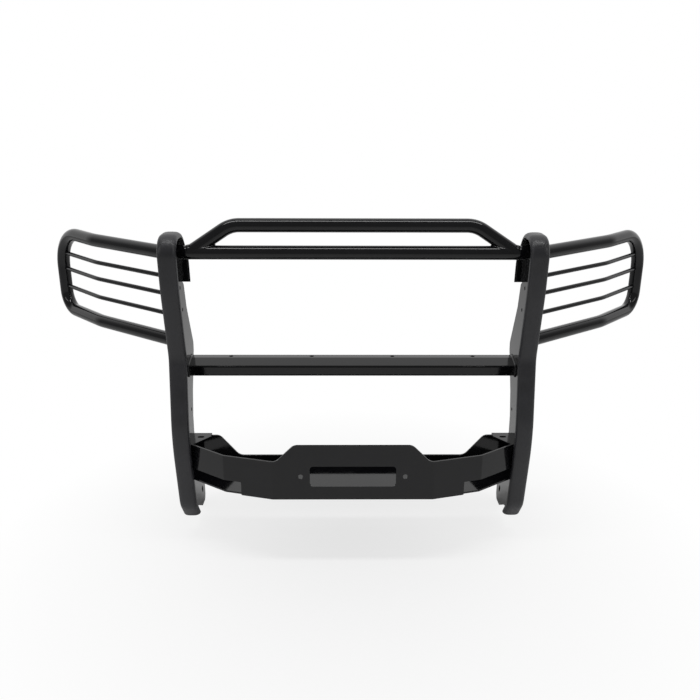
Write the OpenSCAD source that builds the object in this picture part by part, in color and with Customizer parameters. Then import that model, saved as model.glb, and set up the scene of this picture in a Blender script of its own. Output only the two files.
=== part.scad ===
// Front grille guard for a pickup truck, with a built-in winch tray.
// Frame: +X to the right as seen from the front, +Y towards the truck, +Z up.
// Origin: midway between the two fairlead bolt holes, on the front of the winch face plate.

/* [Uprights] */
// Distance between the centre planes of the two uprights
upright_spacing = 854; // [760:2:940]
// Thickness of the riser plates
riser_t = 4.8; // [4:0.1:8]
// Width of the flat steel bar bent over the front of each riser
bar_w = 38; // [30:1:50]
// Thickness of the flat steel bar
bar_t = 5; // [4:0.5:8]
// How far the rubber cover reaches past each side of the bar
cover_lip = 3; // [2:0.5:5]
// Thickness of the rubber cover at its edges
cover_edge_t = 3; // [2:0.5:5]
// Extra thickness of the rubber cover along its middle
cover_dome = 5; // [2:0.5:8]
// Height of the top of the steel hook above the origin
hook_top = 564; // [550:2:600]

/* [Tubes] */
// Outer diameter of the round tubes
tube_d = 33.4; // [28:0.1:38.5]
// Wall of the round tubes
tube_wall = 2; // [1.5:0.1:3]
// Height of the lower cross tube
cross_z = 523; // [500:1:527]
// Distance of the lower cross tube behind the winch face plate
cross_y = 130; // [110:1:134]
// Distance of the lower cross tube's bend corners inboard of the uprights
cross_corner_inset = 23; // [21:1:35]
// Angle at which the lower cross tube's ends turn back to the risers
cross_turn = 42; // [20:1:45]
// Centreline bend radius at the lower cross tube's ends
cross_bend_r = 36; // [30:1:38]
// Height of the hoop tube above the lower cross tube
hoop_rise = 62; // [54:1:80]
// How far the hoop leans back from the lower cross tube
hoop_lean = 15; // [0:1:25]
// Centreline bend radius of the hoop
hoop_bend_r = 70; // [50:1:90]
// Distance of the hoop's upper bend corners inboard of the uprights
hoop_corner_inset = 137; // [105:1:185]
// Distance at which the hoop's legs reach the lower cross tube inboard of the uprights
hoop_foot_inset = 42; // [34:1:55]

/* [Headlight wings] */
// Height of the wing's top tube
wing_top_z = 517.5; // [505:0.5:519]
// Height of the wing's bottom tube
wing_bottom_z = 299.5; // [260:0.5:320]
// Distance of the wing tubes behind the face plate, at the riser's centre plane
wing_root_y = 140; // [132:1:142]
// Distance at which the wings turn further back outboard of the uprights
wing_bend_reach = 241; // [175:1:315]
// Distance of the wing's outer stretch outboard of the uprights
wing_reach = 377.5; // [345:0.5:415]
// Angle at which the inner stretch sweeps back
wing_sweep = 35.8; // [25:0.2:38]
// Angle at which the outer stretch sweeps back
wing_sweep_outer = 45.6; // [38:0.2:50]
// Height of the wing's upper rod
rod_upper_z = 459; // [450:1:470]
// Height of the wing's middle rod
rod_middle_z = 415; // [400:1:430]
// Height of the wing's lower rod
rod_lower_z = 365; // [350:1:380]
// Centreline radius of the wing's gentle bend
wing_bend_r = 160; // [100:5:240]
// Centreline radius of the wing frame's upper outer corner
wing_top_corner_r = 100; // [60:1:110]
// Centreline radius of the wing frame's lower outer corner
wing_bottom_corner_r = 50; // [40:1:75]
// Diameter of the wing rods
rod_d = 11; // [6:0.5:12]

/* [Crossbar] */
// Height of the crossbar's flat top
crossbar_top = 220; // [190:1:240]
// Distance of the crossbar's front face behind the face plate
crossbar_y = 205; // [180:1:210]
// Depth of the crossbar's flat top
crossbar_flat = 22; // [18:1:30]
// Depth of the sloping facet in front of the flat top
crossbar_facet = 40; // [30:1:45]
// Drop of the sloping facet
crossbar_drop = 10; // [4:1:14]
// Height of the crossbar's front face
crossbar_front = 28; // [20:1:40]
// Thickness of the crossbar's sheet
crossbar_t = 4; // [3:0.5:6]
// Distance between neighbouring accessory holes in the crossbar
crossbar_pitch = 213; // [180:1:240]
// Diameter of the accessory holes in the crossbar
crossbar_hole_d = 11; // [8:0.5:13]

/* [Winch tray] */
// Thickness of the winch face plate, the tray and the gussets
plate_t = 4.8; // [4:0.1:8]
// Half width of the straight middle of the face plate
face_straight_x = 196; // [180:1:220]
// Distance at which the face plate turns back a second time inboard of the uprights
face_bend_inset = 109; // [95:1:140]
// Angle of the face plate's first bend
face_bend_1 = 15.5; // [12:0.5:24]
// Angle of the face plate's outer stretch
face_bend_2 = 35; // [24:0.5:36]
// Height of the raised middle of the face plate above the origin
face_top = 83; // [70:1:95]
// Height of the face plate's wings above the origin
face_low_top = 39.5; // [30:0.5:50]
// Depth of the face plate's lower edge below the origin
face_bottom = 62.5; // [60:0.5:80]
// Half width of the raised middle, at its top corners
face_raise_x = 143; // [136:1:150]
// Width of the fairlead slot
slot_w = 209; // [180:1:215]
// Height of the fairlead slot
slot_h = 54; // [40:1:60]
// Distance between the two fairlead bolt holes
fairlead_pitch = 254; // [250:0.5:260]
// Diameter of the fairlead bolt holes
fairlead_hole_d = 12; // [9:0.5:14]
// Height of the opening between the tray's floor and the face plate's wings
notch_h = 31; // [20:1:40]
// Distance at which that opening starts inboard of the uprights
notch_inset = 152; // [135:1:163]
// Distance from the face plate's front to the tray's rear wall
tray_depth = 175; // [168:1:185]
// Height of the rear wall's middle above the tray's floor
rear_wall_h = 28; // [20:1:40]
// Distance at which the rear wall starts to rise to its ends inboard of the uprights
rear_rise_inset = 130; // [115:1:140]
// Width of the slope by which the rear wall rises
rear_rise_w = 50; // [44:1:60]
// Width of the winch bolt pattern
winch_pitch_x = 254; // [250:0.5:260]
// Depth of the winch bolt pattern
winch_pitch_y = 114.3; // [110:0.1:120]
// Distance of the front row of winch bolts behind the face plate's front
winch_row_y = 32; // [24:1:38]
// Diameter of the winch bolt holes
winch_hole_d = 11; // [9:0.5:14]
// Width of the gusset, from the riser
gusset_w = 57; // [45:1:70]
// Drop of the gusset's top below the top of the face plate's wings
gusset_drop = 6.5; // [2:0.5:10]
// Length of the oblong hole in the gusset
gusset_slot_l = 17; // [12:0.5:20]
// Width of the oblong hole in the gusset
gusset_slot_w = 9; // [6:0.5:11]

/* [Riser holes] */
// Diameter of the small holes in the riser plates
riser_hole_d = 10; // [8:0.5:12]
// Diameter of the main bolt hole in the riser plates
main_hole_d = 16; // [12:0.5:18]
// Length of the slanted slot in the riser's lower ear
ear_slot_l = 26; // [18:1:34]
// Width of the slanted slot in the riser's lower ear
ear_slot_w = 12; // [10:0.5:15]

/* [Welds] */
// Leg of the fillet welds
weld_leg = 5; // [3:0.5:7]

/* [Hidden] */

// Number of straight steps along each bend of a bent sheet or bar
bend_steps = 8;
// Number of steps along each bend of a tube
tube_steps = 6;
// Number of facets round a bent tube
tube_sides = 32;
// Number of facets round a wing rod
rod_sides = 12;
// Clearance of a tube's cut end to the surface that it is welded to
cope_gap = 0.3;
// Number of steps in which a tube's cut end is found
cope_steps = 30;
// Number of facets on round holes
round_fn = 48;
// Oversize of cutting shapes past the faces that they cut
cut_over = 1;
up = [0, 0, 1];
powder_black = "#26262a";
rubber_black = "#3a3a40";

// Derived places
upright_x = upright_spacing / 2;
cross_corner_x = upright_x - cross_corner_inset;
hoop_corner_x = upright_x - hoop_corner_inset;
hoop_foot_x = upright_x - hoop_foot_inset;
wing_bend_x = upright_x + wing_bend_reach;
wing_outer_x = upright_x + wing_reach;
face_bend_x = upright_x - face_bend_inset;
notch_x = upright_x - notch_inset;
rear_rise_x = upright_x - rear_rise_inset;
riser_in = upright_x - riser_t / 2;
riser_out = upright_x + riser_t / 2;
tube_r = tube_d / 2;
// Distance of a rod's end from the axis of the tube, so that its flat end clears the round wall
rod_end_r = norm([tube_r, rod_d / 2]);
floor_top = plate_t - face_bottom;
notch_top = floor_top + notch_h;
gusset_z = face_low_top - gusset_drop - plate_t;
face_y1 = (face_bend_x - face_straight_x) * tan(face_bend_1);
face_end_y = face_y1 + (upright_x - face_bend_x) * tan(face_bend_2);
hoop_z = cross_z + hoop_rise;
hoop_y = cross_y + hoop_lean;
cross_end_x = riser_in;
cross_end_y = cross_y + (riser_in - cross_corner_x) * tan(cross_turn);
wing_bend_y = wing_root_y + (wing_bend_x - upright_x) * tan(wing_sweep);

// Front line of the steel bar seen from the side: [y, z, corner radius]
bar_line = [[147, -188, 0], [107, -138, 60], [76.5, 35, 430], [77.5, 100, 250], [105, 267, 90],
  [72, 440, 400], [63, hook_top, 38], [149, hook_top, 50], [209, hook_top - 67, 60],
  [215, hook_top - 131, 0]];
// Rear edge of the riser plate from the top down: [y, z, corner radius]
riser_rear = [[222, 424, 4], [238, 360, 40], [294, 247, 18], [292, 226, 18], [247, 126, 40],
  [230, 60, 40], [228, 10, 20], [322, -110, 20], [324, -226, 10], [316, -242, 10],
  [277, -240, 12], [222, -207, 20]];
// Holes through the riser plate: [y, z, diameter]
riser_holes = [[177, 425, riser_hole_d], [190, 366, riser_hole_d], [214, 86, riser_hole_d],
  [195, 17, main_hole_d]];
// Middle of the slanted slot in the riser's ear: [y, z], and its slope
ear_slot = [286, -192];
ear_slot_turn = -60;
// Depth of the gusset's inner edge in front of the rear wall
gusset_edge = 17;
// Width over which the gusset lies against the face plate
gusset_seat = 14;
// Middle of the gusset's oblong hole: [distance from the riser, distance from the rear wall]
gusset_slot = [32, 20];
// Places across the tray of the stitch welds, left and right, and their length
stitch_places = [45, 195, 330];
stitch_l = 58;
// Section of the crossbar, from its rear edge: [y, z, corner radius]
crossbar_line = [[crossbar_y + crossbar_facet + crossbar_flat, crossbar_top, 0],
  [crossbar_y + crossbar_facet, crossbar_top, 12],
  [crossbar_y, crossbar_top - crossbar_drop, 6],
  [crossbar_y, crossbar_top - crossbar_drop - crossbar_front, 6],
  [crossbar_y + crossbar_flat, crossbar_top - crossbar_drop - crossbar_front, 0]];

// ---- Paths ----
function unit(v) = v / norm(v);
function last(list) = list[len(list) - 1];
function backwards(list) = [for (i = [len(list) - 1:-1:0]) list[i]];
function xy(p) = [p[0], p[1]];
// Points of the arc of radius r that rounds the corner b between a and c
function corner_arc(a, b, c, r) =
  let (u = unit(a - b), w = unit(c - b), half = acos(u * w) / 2, mid = b + unit(u + w) * r / sin(half),
    from = b + u * r / tan(half) - mid, to = b + w * r / tan(half) - mid,
    a0 = atan2(from[1], from[0]), turn = atan2(from[0] * to[1] - from[1] * to[0], from * to))
  [for (i = [0:bend_steps]) mid + r * [cos(a0 + turn * i / bend_steps), sin(a0 + turn * i / bend_steps)]];
// An open line with its inner corners rounded
function rounded_line(c) = [for (i = [0:len(c) - 1])
  for (p = c[i][2] == 0 ? [xy(c[i])] : corner_arc(xy(c[i - 1]), xy(c[i]), xy(c[i + 1]), c[i][2])) p];
// A closed outline with its corners rounded
function rounded_loop(c) = let (n = len(c)) [for (i = [0:n - 1])
  for (p = c[i][2] == 0 ? [xy(c[i])]
    : corner_arc(xy(c[(i + n - 1) % n]), xy(c[i]), xy(c[(i + 1) % n]), c[i][2])) p];
// Unit vector to the left of the line at point i
function side_at(p, i) = let (d = unit(p[min(i + 1, len(p) - 1)] - p[max(i - 1, 0)])) [-d[1], d[0]];
// The line moved sideways to its left
function moved(p, by) = [for (i = [0:len(p) - 1]) p[i] + by * side_at(p, i)];
// Closed outline of a bent strip, t thick, to the left of the line
function strip(p, t) = concat(p, backwards(moved(p, t)));

// ---- Shared shapes ----
// Extrudes a side outline [y, z] along X, from x0 to x1
module along_x(x0, x1) {
  translate([x0, 0, 0]) rotate([90, 0, 90]) linear_extrude(x1 - x0) children();
}
// Extrudes a front outline [x, z] along Y, from y0 to y1
module along_y(y0, y1) {
  translate([0, y1, 0]) rotate([90, 0, 0]) linear_extrude(y1 - y0) children();
}
// Draws its children for the right side, or mirrored for the left
module on_side(side) {
  if (side == "left") mirror([1, 0, 0]) children();
  else children();
}
// Cutter along Z for an oblong hole along X, from 0 to past the far face of a plate t thick
module slot_cutter(length, width, t) {
  straight = length - width;
  for (s = [-1, 1]) translate([s * straight / 2, 0, 0])
    cylinder(d = width, h = t + 2 * cut_over, $fn = round_fn);
  translate([-straight / 2, -width / 2, 0]) cube([straight, width, t + 2 * cut_over]);
}
// Points of the arc of radius r that rounds the corner b between a and c, in space
function bend_arc(a, b, c, r) =
  let (u = unit(a - b), w = unit(c - b), half = acos(u * w) / 2, mid = b + unit(u + w) * r / sin(half),
    out = unit(b - mid), along = unit(w - u), turn = 90 - half)
  [for (i = [0:tube_steps]) let (g = turn * (2 * i / tube_steps - 1))
    mid + r * (cos(g) * out + sin(g) * along)];
// Line along corners p in space, with bend radius r[i] at each inner corner
function bent_line(p, r) = [for (i = [0:len(p) - 1])
  for (q = i == 0 || i == len(p) - 1 ? [p[i]] : bend_arc(p[i - 1], p[i], p[i + 1], r[i])) q];
function tangent(c, i) = i == 0 ? unit(c[1] - c[0]) : i == len(c) - 1 ? unit(c[i] - c[i - 1])
  : unit(unit(c[i + 1] - c[i]) + unit(c[i] - c[i - 1]));
// Points of the ring of radius r around the line's point i, starting towards ref
function ring_at(c, i, r, ref, sides) =
  let (t = tangent(c, i), u = unit(ref - (ref * t) * t), v = cross(t, u))
  [for (k = [0:sides - 1]) c[i] + r * (cos(360 * k / sides) * u + sin(360 * k / sides) * v)];
// The point moved along t until it reaches the plane x = at
function to_plane(p, t, at) = p + t * (at - p[0]) / t[0];
// Nearest point to p on the straight piece from a to b, and on the whole line c
function nearest_on_piece(p, a, b) = a + max(0, min(1, (p - a) * (b - a) / ((b - a) * (b - a)))) * (b - a);
function nearest(p, c) = let (q = [for (i = [0:len(c) - 2]) nearest_on_piece(p, c[i], c[i + 1])],
    d = [for (n = q) norm(p - n)]) q[search(min(d), d)[0]];
// The point moved along t, by its distance left, until it reaches the tube of radius r along c
function to_tube(p, t, c, r, steps) = steps == 0 ? p
  : to_tube(p + t * (norm(p - nearest(p, c)) - r), t, c, r, steps - 1);
// The nearest point to p on the tube of radius r along c
function on_tube(p, c, r) = let (n = nearest(p, c)) n + r * unit(p - n);
// The ring's point p cut by what it ends on; t points along the line, out of its end
function cut_end(p, t, kind) = kind == "riser_out" ? to_plane(p, t, riser_out)
  : kind == "riser_in" ? to_plane(p, t, riser_in * sign(p[0]))
  : kind == "cross_tube" ? to_tube(p, t, cross_line, tube_r + cope_gap, cope_steps)
  : to_tube(p, t, wing_line, rod_end_r, cope_steps);
// All rings of a swept surface of radius r, from one cut end to the other
function swept(c, r, ref, sides, from, to) = [for (i = [0:len(c) - 1]) let (t = tangent(c, i))
  for (p = ring_at(c, i, r, ref, sides))
    i == 0 ? cut_end(p, -t, from) : i == len(c) - 1 ? cut_end(p, t, to) : p];
// A round tube along the line c, or a solid rod where r_in is 0
module sweep_tube(c, ref, r_out, r_in, sides, from, to) {
  n = len(c);
  size = n * sides;
  outer = swept(c, r_out, ref, sides, from, to);
  inner = r_in > 0 ? swept(c, r_in, ref, sides, from, to) : [];
  walls = [for (i = [0:n - 2]) for (k = [0:sides - 1]) let (m = (k + 1) % sides, a = i * sides)
    for (f = [[a + k, a + m, a + sides + m], [a + k, a + sides + m, a + sides + k]]) f];
  back_walls = r_in > 0 ? [for (f = walls) [size + f[2], size + f[1], size + f[0]]] : [];
  last_ring = size - sides;
  ends = r_in > 0
    ? [for (k = [0:sides - 1]) let (m = (k + 1) % sides, z = last_ring)
      for (f = [[k, size + m, m], [k, size + k, size + m],
        [z + k, z + m, size + z + m], [z + k, size + z + m, size + z + k]]) f]
    : [[for (k = [sides - 1:-1:0]) k], [for (k = [0:sides - 1]) last_ring + k]];
  polyhedron(concat(outer, inner), concat([for (f = concat(walls, back_walls, ends)) backwards(f)]),
    convexity = 8);
}

// ---- Uprights ----
bar_path = rounded_line(bar_line);
riser_front = moved(bar_path, -bar_t);

module riser_plate(side) {
  color(powder_black) on_side(side) difference() {
    along_x(riser_in, riser_out) polygon(concat(riser_front, rounded_line(concat(
      [[last(riser_front)[0], last(riser_front)[1], 0]], riser_rear,
      [[riser_front[0][0], riser_front[0][1], 0]]))));
    for (h = riser_holes)
      translate([riser_in - cut_over, h[0], h[1]]) rotate([0, 90, 0])
        cylinder(d = h[2], h = riser_t + 2 * cut_over, $fn = round_fn);
    translate([riser_in - cut_over, ear_slot[0], ear_slot[1]]) rotate([ear_slot_turn, 0, 0])
      rotate([90, 0, 90]) slot_cutter(ear_slot_l, ear_slot_w, riser_t);
  }
}
module upright_bar(side) {
  color(powder_black) on_side(side)
    along_x(upright_x - bar_w / 2, upright_x + bar_w / 2) polygon(strip(bar_path, -bar_t));
}
// Section of the rubber cover: [x, distance in front of the bar's face]
cover_half = bar_w / 2 + cover_lip;
dome_steps = 10;
cover_section = concat([[-cover_half, -bar_t]],
  [for (i = [0:dome_steps]) let (s = 2 * i / dome_steps - 1)
    [cover_half * s, cover_edge_t + cover_dome * (1 - s * s)]],
  [[cover_half, -bar_t], [bar_w / 2, -bar_t], [bar_w / 2, 0], [-bar_w / 2, 0], [-bar_w / 2, -bar_t]]);
// Triangles that close the end of the cover: its middle as a fan, then its two lips
dome_last = dome_steps + 1;
cover_end = concat([for (j = [1:dome_steps]) [dome_last + 4, j, j + 1]],
  [[dome_last + 4, dome_last, dome_last + 3], [0, 1, dome_last + 4], [0, dome_last + 4, dome_last + 5],
  [dome_last, dome_last + 1, dome_last + 2], [dome_last, dome_last + 2, dome_last + 3]]);
module upright_cover(side) {
  n = len(cover_section);
  rings = len(bar_path);
  points = [for (i = [0:rings - 1]) for (c = cover_section)
    let (at = bar_path[i] + c[1] * side_at(bar_path, i)) [upright_x + c[0], at[0], at[1]]];
  walls = [for (i = [0:rings - 2]) for (j = [0:n - 1]) let (k = (j + 1) % n, a = i * n)
    for (f = [[a + j, a + k, a + n + k], [a + j, a + n + k, a + n + j]]) f];
  far_ring = (rings - 1) * n;
  ends = [for (f = cover_end) for (g = [backwards(f), [for (j = f) far_ring + j]]) g];
  color(rubber_black) on_side(side) polyhedron(points, [for (f = concat(walls, ends)) backwards(f)],
    convexity = 6);
}

// ---- Top tubes ----
cross_line = bent_line([[-cross_end_x, cross_end_y, cross_z], [-cross_corner_x, cross_y, cross_z],
  [cross_corner_x, cross_y, cross_z], [cross_end_x, cross_end_y, cross_z]], [0, cross_bend_r, cross_bend_r, 0]);
hoop_corners = [[-hoop_foot_x, cross_y, cross_z], [-hoop_corner_x, hoop_y, hoop_z],
  [hoop_corner_x, hoop_y, hoop_z], [hoop_foot_x, cross_y, cross_z]];
// The hoop's legs stop short of the cross tube's axis, and are then cut to its surface
hoop_foot = hoop_corners[3] + 0.5 * (hoop_corners[2] - hoop_corners[3]);
hoop_line = bent_line([[-hoop_foot[0], hoop_foot[1], hoop_foot[2]], hoop_corners[1], hoop_corners[2],
  hoop_foot], [0, hoop_bend_r, hoop_bend_r, 0]);
hoop_normal = unit(cross(hoop_corners[2] - hoop_corners[1], hoop_corners[3] - hoop_corners[2]));

module lower_cross_tube() {
  color(powder_black) sweep_tube(cross_line, up, tube_r, tube_r - tube_wall, tube_sides,
    "riser_in", "riser_in");
}
module hoop_tube() {
  color(powder_black) sweep_tube(hoop_line, hoop_normal, tube_r, tube_r - tube_wall, tube_sides,
    "cross_tube", "cross_tube");
}
// Bead around the saddle where a hoop leg meets the lower cross tube: a short sleeve round the leg
module hoop_weld(side) {
  t = unit(hoop_corners[3] - hoop_corners[2]);
  foot = [for (p = around(hoop_foot, t, hoop_normal, tube_r)) cut_end(p, t, "cross_tube")];
  away = around([0, 0, 0], t, hoop_normal, 1);
  rings = [for (w = [2 * cope_gap + weld_leg / 2, 2 * cope_gap]) [for (k = [0:tube_sides - 1])
    on_tube(foot[k] + w * away[k], cross_line, tube_r + cope_gap)]];
  color(powder_black) on_side(side) collar(rings[0], rings[1], t);
}
// Points of the circle of radius r round the axis t, starting towards u
function around(at, t, u, r) = let (v = cross(t, u))
  [for (k = [0:tube_sides - 1]) at + r * (cos(360 * k / tube_sides) * u + sin(360 * k / tube_sides) * v)];
// A bead of triangular section: it stands on the ring outer-inner and fades out back along t
module collar(outer, inner, t) {
  n = len(outer);
  top = [for (p = inner) p - t * weld_leg];
  faces = [for (k = [0:n - 1]) let (m = (k + 1) % n)
    for (f = [[k, m, n + m], [k, n + m, n + k], [n + k, n + m, 2 * n + m], [n + k, 2 * n + m, 2 * n + k],
      [2 * n + k, 2 * n + m, m], [2 * n + k, m, k]]) f];
  polyhedron(concat(outer, inner, top), faces, convexity = 6);
}
// Bead round the end of the lower cross tube, on the riser's inner face
module cross_tube_weld(side) {
  t = unit(last(cross_line) - cross_line[len(cross_line) - 2]);
  outer = [for (p = around(last(cross_line), t, up, tube_r + weld_leg / 2)) to_plane(p, t, riser_in)];
  inner = [for (p = around(last(cross_line), t, up, tube_r + cope_gap)) to_plane(p, t, riser_in)];
  color(powder_black) on_side(side) collar(outer, inner, t);
}

// ---- Headlight wings ----
function wing_point(x, z) = x <= wing_bend_x
  ? [x, wing_root_y + (x - upright_x) * tan(wing_sweep), z]
  : [x, wing_bend_y + (x - wing_bend_x) * tan(wing_sweep_outer), z];
wing_line = bent_line([wing_point(riser_out, wing_top_z), wing_point(wing_bend_x, wing_top_z),
  wing_point(wing_outer_x, wing_top_z), wing_point(wing_outer_x, wing_bottom_z),
  wing_point(wing_bend_x, wing_bottom_z), wing_point(riser_out, wing_bottom_z)],
  [0, wing_bend_r, wing_top_corner_r, wing_bottom_corner_r, wing_bend_r, 0]);
wing_normal = [-sin(wing_sweep_outer), cos(wing_sweep_outer), 0];
module wing_frame(side) {
  color(powder_black) on_side(side) sweep_tube(wing_line, wing_normal, tube_r, tube_r - tube_wall,
    tube_sides, "riser_out", "riser_out");
}
module wing_rod(side, z) {
  line = bent_line([wing_point(riser_out, z), wing_point(wing_bend_x, z),
    wing_point(wing_outer_x - tube_d, z)], [0, wing_bend_r, 0]);
  color(powder_black) on_side(side) sweep_tube(line, up, rod_d / 2, 0, rod_sides,
    "riser_out", "wing_outer");
}
// Beads where the wing's tubes and rods meet the riser
module wing_weld(side) {
  color(powder_black) on_side(side) {
    for (z = [wing_top_z, wing_bottom_z]) root_bead(z, tube_r);
    for (z = [rod_upper_z, rod_middle_z, rod_lower_z]) root_bead(z, rod_d / 2);
  }
}
module root_bead(z, r) {
  t = -unit(wing_point(wing_bend_x, z) - wing_point(riser_out, z));
  at = wing_point(riser_out, z);
  outer = [for (p = around(at, t, up, r + weld_leg / 2)) to_plane(p, t, riser_out)];
  inner = [for (p = around(at, t, up, r + cope_gap)) to_plane(p, t, riser_out)];
  collar(outer, inner, t);
}

// ---- Crossbar ----
crossbar_path = rounded_line(crossbar_line);
module crossbar() {
  color(powder_black) difference() {
    along_x(-riser_in, riser_in) polygon(strip(crossbar_path, crossbar_t));
    for (i = [-1.5:1:1.5])
      translate([i * crossbar_pitch, crossbar_y + crossbar_facet + crossbar_flat / 2,
        crossbar_top - crossbar_t - cut_over])
        cylinder(d = crossbar_hole_d, h = crossbar_t + 2 * cut_over, $fn = round_fn);
  }
}
// Bead that runs over the crossbar's section, on the riser's inner face
module crossbar_weld(side) {
  color(powder_black) on_side(side)
    along_x(riser_in - weld_leg, riser_in) polygon(strip(crossbar_path, -weld_leg / 2));
}

// ---- Winch tray ----
// Front line of the face plate seen from above: [x, y, corner radius]
face_line = [[upright_x, face_end_y, 0], [face_bend_x, face_y1, 14], [face_straight_x, 0, 14],
  [-face_straight_x, 0, 14], [-face_bend_x, face_y1, 14], [-upright_x, face_end_y, 0]];
face_path = rounded_line(face_line);
face_back = moved(face_path, -plate_t);
// Right half of the face plate's outline seen from the front: [x, z, corner radius]
face_outline = [[face_raise_x, face_top, 22],
  [face_raise_x + face_top - face_low_top, face_low_top, 22], [riser_in, face_low_top, 0],
  [riser_in, notch_top, 0], [notch_x, notch_top, 2], [notch_x, -face_bottom, 2]];
function mirrored(c) = [for (p = backwards(c)) [-p[0], p[1], p[2]]];
module winch_face_plate() {
  slot = [[slot_w / 2, slot_h / 2, 8], [slot_w / 2, -slot_h / 2, 8],
    [-slot_w / 2, -slot_h / 2, 8], [-slot_w / 2, slot_h / 2, 8]];
  color(powder_black) difference() {
    intersection() {
      translate([0, 0, -face_bottom]) linear_extrude(face_bottom + face_top) polygon(strip(face_path, -plate_t));
      along_y(-cut_over, tray_depth) polygon(rounded_loop(concat(face_outline, mirrored(face_outline))));
    }
    along_y(-cut_over, plate_t + cut_over) polygon(rounded_loop(slot));
    for (s = [-1, 1]) translate([s * fairlead_pitch / 2, plate_t + cut_over, 0]) rotate([90, 0, 0])
      cylinder(d = fairlead_hole_d, h = plate_t + 2 * cut_over, $fn = round_fn);
  }
}
module tray_floor() {
  color(powder_black) difference() {
    translate([0, 0, -face_bottom]) linear_extrude(plate_t) intersection() {
      polygon(concat(face_back, [[-upright_x, tray_depth], [upright_x, tray_depth]]));
      translate([-riser_in, 0]) square([2 * riser_in, tray_depth]);
    }
    for (sx = [-1, 1]) for (y = [winch_row_y, winch_row_y + winch_pitch_y])
      translate([sx * winch_pitch_x / 2, y, -face_bottom - cut_over])
        cylinder(d = winch_hole_d, h = plate_t + 2 * cut_over, $fn = round_fn);
  }
}
module tray_rear_wall() {
  wall_top = floor_top + rear_wall_h;
  half = [[rear_rise_x, wall_top, 25], [rear_rise_x + rear_rise_w, gusset_z, 20],
    [riser_in, gusset_z, 0], [riser_in, -face_bottom, 0]];
  color(powder_black) along_y(tray_depth, tray_depth + plate_t)
    polygon(rounded_loop(concat(half, mirrored(half))));
}
// Flat corner plate between the riser, the face plate and the rear wall
module gusset(side) {
  // Back of the face plate where it meets the riser
  back_y = face_end_y - riser_t / 2 * tan(face_bend_2) + plate_t / cos(face_bend_2);
  color(powder_black) on_side(side) difference() {
    translate([0, 0, gusset_z]) linear_extrude(plate_t) polygon([[riser_in, back_y],
      [riser_in, tray_depth + plate_t], [riser_in - gusset_w, tray_depth + plate_t],
      [riser_in - gusset_w, tray_depth - gusset_edge],
      [riser_in - gusset_seat, back_y - gusset_seat * tan(face_bend_2)]]);
    translate([riser_in - gusset_slot[0], tray_depth - gusset_slot[1], gusset_z - cut_over])
      slot_cutter(gusset_slot_l, gusset_slot_w, plate_t);
  }
}
// Quarter-round bead along Z, in the corner on the +X and +Y side
module corner_bead(length) {
  linear_extrude(length) intersection() {
    circle(weld_leg, $fn = round_fn);
    translate([-weld_leg, -weld_leg]) square(weld_leg);
  }
}
// Short beads in the corner between the floor and the rear wall
module tray_weld_stitches() {
  color(powder_black) for (side = [-1, 1]) for (x = stitch_places)
    translate([side * x - stitch_l / 2, tray_depth, floor_top]) rotate([0, 90, 0]) corner_bead(stitch_l);
}
// Beads that join the tray's floor and rear wall to the riser
module tray_end_weld(side) {
  floor_bead_y = face_end_y + plate_t + 2 * weld_leg;
  start = 1.5 * weld_leg;
  color(powder_black) on_side(side) {
    translate([riser_in, floor_bead_y, floor_top]) rotate([0, 0, 90]) rotate([0, 90, 0])
      mirror([0, 1, 0]) corner_bead(tray_depth - start - floor_bead_y);
    translate([riser_in, tray_depth, floor_top + start])
      corner_bead(gusset_z - floor_top - start - cope_gap);
  }
}

riser_plate("left");  // riser_plate_left
riser_plate("right");  // riser_plate_right
upright_bar("left");  // upright_bar_left
upright_bar("right");  // upright_bar_right
upright_cover("left");  // upright_cover_left
upright_cover("right");  // upright_cover_right
lower_cross_tube();
hoop_tube();
hoop_weld("left");  // hoop_weld_left
hoop_weld("right");  // hoop_weld_right
cross_tube_weld("left");  // cross_tube_weld_left
cross_tube_weld("right");  // cross_tube_weld_right
wing_frame("left");  // wing_frame_left
wing_frame("right");  // wing_frame_right
wing_weld("left");  // wing_weld_left
wing_weld("right");  // wing_weld_right
wing_rod("left", rod_upper_z);  // wing_rod_upper_left
wing_rod("right", rod_upper_z);  // wing_rod_upper_right
wing_rod("left", rod_middle_z);  // wing_rod_middle_left
wing_rod("right", rod_middle_z);  // wing_rod_middle_right
wing_rod("left", rod_lower_z);  // wing_rod_lower_left
wing_rod("right", rod_lower_z);  // wing_rod_lower_right
crossbar();
crossbar_weld("left");  // crossbar_weld_left
crossbar_weld("right");  // crossbar_weld_right
winch_face_plate();
tray_floor();
tray_rear_wall();
gusset("left");  // gusset_left
gusset("right");  // gusset_right
tray_weld_stitches();
tray_end_weld("left");  // tray_end_weld_left
tray_end_weld("right");  // tray_end_weld_right
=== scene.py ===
# %% [markdown]
# # A welded front grille guard
#
# The guard is the steel frame that protects the front of a pickup truck: two upright plates, round tubes
# across and around the headlights, a folded crossbar and a tray for a winch. Everything is welded, coated
# with black powder and baked, and two rubber strips are pressed over the uprights.
#
# The exact construction comes in first as a fixed frame. This lesson then gives it the looks: tubes with
# true round walls, weld beads with ripples, domed rubber strips, rounded plate edges and the finishes.

# %% Load the frame
from math import cos, pi, radians, sin, tan

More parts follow.
